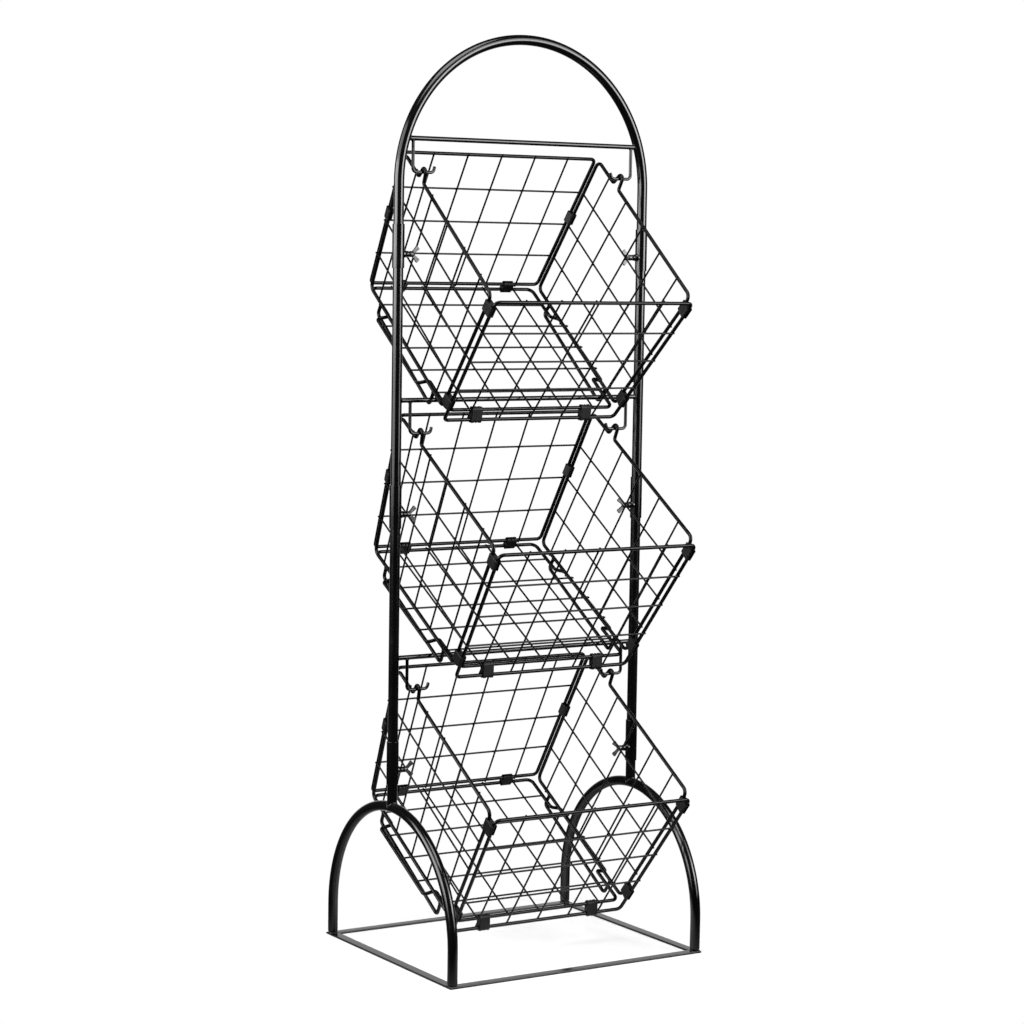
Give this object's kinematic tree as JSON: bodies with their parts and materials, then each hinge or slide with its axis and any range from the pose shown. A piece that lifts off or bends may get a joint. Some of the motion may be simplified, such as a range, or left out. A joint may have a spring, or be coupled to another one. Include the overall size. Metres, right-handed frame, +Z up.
{
  "type": "tiered wire basket",
  "caption": "Free-standing tiered storage stand: an arched tube frame on leg arches, with open wire baskets that hang tilted on hooks under crossbars.",
  "frame": {"origin": "bottom centre of the whole object's box, on the floor", "axes": "+X to the stand's right, +Y to its back, +Z up; the baskets' open fronts face -Y"},
  "size_m": [0.371, 0.3584, 1.1417],
  "materials": {
    "frame_coat": "satin black powder coat",
    "basket_coat": "satin black powder coat",
    "clip_plastic": "matte black",
    "screw_metal": "dark plated"
  },
  "bodies": {
    "base": {"left_leg_arch": "frame_coat", "right_leg_arch": "frame_coat", "front_strip": "frame_coat", "rear_strip": "frame_coat", "left_strip": "frame_coat", "right_strip": "frame_coat", "left_post": "frame_coat", "right_post": "frame_coat"},
    "lower_section": {"left_lower_upright": "frame_coat", "right_lower_upright": "frame_coat", "lower_crossbar": "frame_coat", "left_lower_hook": "frame_coat", "right_lower_hook": "frame_coat", "left_lower_sleeve": "frame_coat", "right_lower_sleeve": "frame_coat"},
    "middle_section": {"left_middle_upright": "frame_coat", "right_middle_upright": "frame_coat", "middle_crossbar": "frame_coat", "left_middle_hook": "frame_coat", "right_middle_hook": "frame_coat", "left_middle_sleeve": "frame_coat", "right_middle_sleeve": "frame_coat"},
    "upper_section": {"upper_arch": "frame_coat", "upper_crossbar": "frame_coat", "left_upper_hook": "frame_coat", "right_upper_hook": "frame_coat", "left_upper_sleeve": "frame_coat", "right_upper_sleeve": "frame_coat"},
    "lower_basket": {"lower_basket_back_panel": "basket_coat", "lower_basket_front_panel": "basket_coat", "lower_basket_floor_panel": "basket_coat", "lower_basket_left_panel": "basket_coat", "lower_basket_right_panel": "basket_coat", "lower_basket_feet": "basket_coat", "lower_basket_edge_clips": "clip_plastic", "lower_basket_corner_clips": "clip_plastic"},
    "middle_basket": {"middle_basket_back_panel": "basket_coat", "middle_basket_front_panel": "basket_coat", "middle_basket_floor_panel": "basket_coat", "middle_basket_left_panel": "basket_coat", "middle_basket_right_panel": "basket_coat", "middle_basket_feet": "basket_coat", "middle_basket_edge_clips": "clip_plastic", "middle_basket_corner_clips": "clip_plastic"},
    "upper_basket": {"upper_basket_back_panel": "basket_coat", "upper_basket_front_panel": "basket_coat", "upper_basket_floor_panel": "basket_coat", "upper_basket_left_panel": "basket_coat", "upper_basket_right_panel": "basket_coat", "upper_basket_feet": "basket_coat", "upper_basket_edge_clips": "clip_plastic", "upper_basket_corner_clips": "clip_plastic"},
    "left_lower_wing_screw": {"left_lower_wing_screw": "screw_metal"},
    "right_lower_wing_screw": {"right_lower_wing_screw": "screw_metal"},
    "left_middle_wing_screw": {"left_middle_wing_screw": "screw_metal"},
    "right_middle_wing_screw": {"right_middle_wing_screw": "screw_metal"},
    "left_upper_wing_screw": {"left_upper_wing_screw": "screw_metal"},
    "right_upper_wing_screw": {"right_upper_wing_screw": "screw_metal"}
  },
  "joints": [
    {"name": "lower_section_lift", "type": "slide", "parent": "base", "child": "lower_section", "axis": [0, 0, 1], "range_m": [0, 0.028]},
    {"name": "middle_section_lift", "type": "slide", "parent": "lower_section", "child": "middle_section", "axis": [0, 0, 1], "range_m": [0, 0.028]},
    {"name": "upper_section_lift", "type": "slide", "parent": "middle_section", "child": "upper_section", "axis": [0, 0, 1], "range_m": [0, 0.028]},
    {"name": "lower_basket_swing", "type": "hinge", "parent": "lower_section", "child": "lower_basket", "pos_m": [0, 0.00619, 0.3374], "axis": [1, 0, 0], "range_deg": [-32, 40]},
    {"name": "middle_basket_swing", "type": "hinge", "parent": "middle_section", "child": "middle_basket", "pos_m": [0, 0.00619, 0.65359], "axis": [1, 0, 0], "range_deg": [-32, 0.5]},
    {"name": "upper_basket_lift", "type": "slide", "parent": "upper_section", "child": "upper_basket", "axis": [0, -0.6326, 0.7745], "range_m": [0, 0.02]},
    {"name": "left_lower_screw_turn", "type": "hinge", "parent": "lower_section", "child": "left_lower_wing_screw", "pos_m": [-0.158, 0.00619, 0.2387], "axis": [1, 0, 0], "continuous": true},
    {"name": "right_lower_screw_turn", "type": "hinge", "parent": "lower_section", "child": "right_lower_wing_screw", "pos_m": [0.158, 0.00619, 0.2387], "axis": [-1, 0, 0], "continuous": true},
    {"name": "left_middle_screw_turn", "type": "hinge", "parent": "middle_section", "child": "left_middle_wing_screw", "pos_m": [-0.158, 0.00619, 0.55489], "axis": [1, 0, 0], "continuous": true},
    {"name": "right_middle_screw_turn", "type": "hinge", "parent": "middle_section", "child": "right_middle_wing_screw", "pos_m": [0.158, 0.00619, 0.55489], "axis": [-1, 0, 0], "continuous": true},
    {"name": "left_upper_screw_turn", "type": "hinge", "parent": "upper_section", "child": "left_upper_wing_screw", "pos_m": [-0.158, 0.00619, 0.87109], "axis": [1, 0, 0], "continuous": true},
    {"name": "right_upper_screw_turn", "type": "hinge", "parent": "upper_section", "child": "right_upper_wing_screw", "pos_m": [0.158, 0.00619, 0.87109], "axis": [-1, 0, 0], "continuous": true}
  ]
}
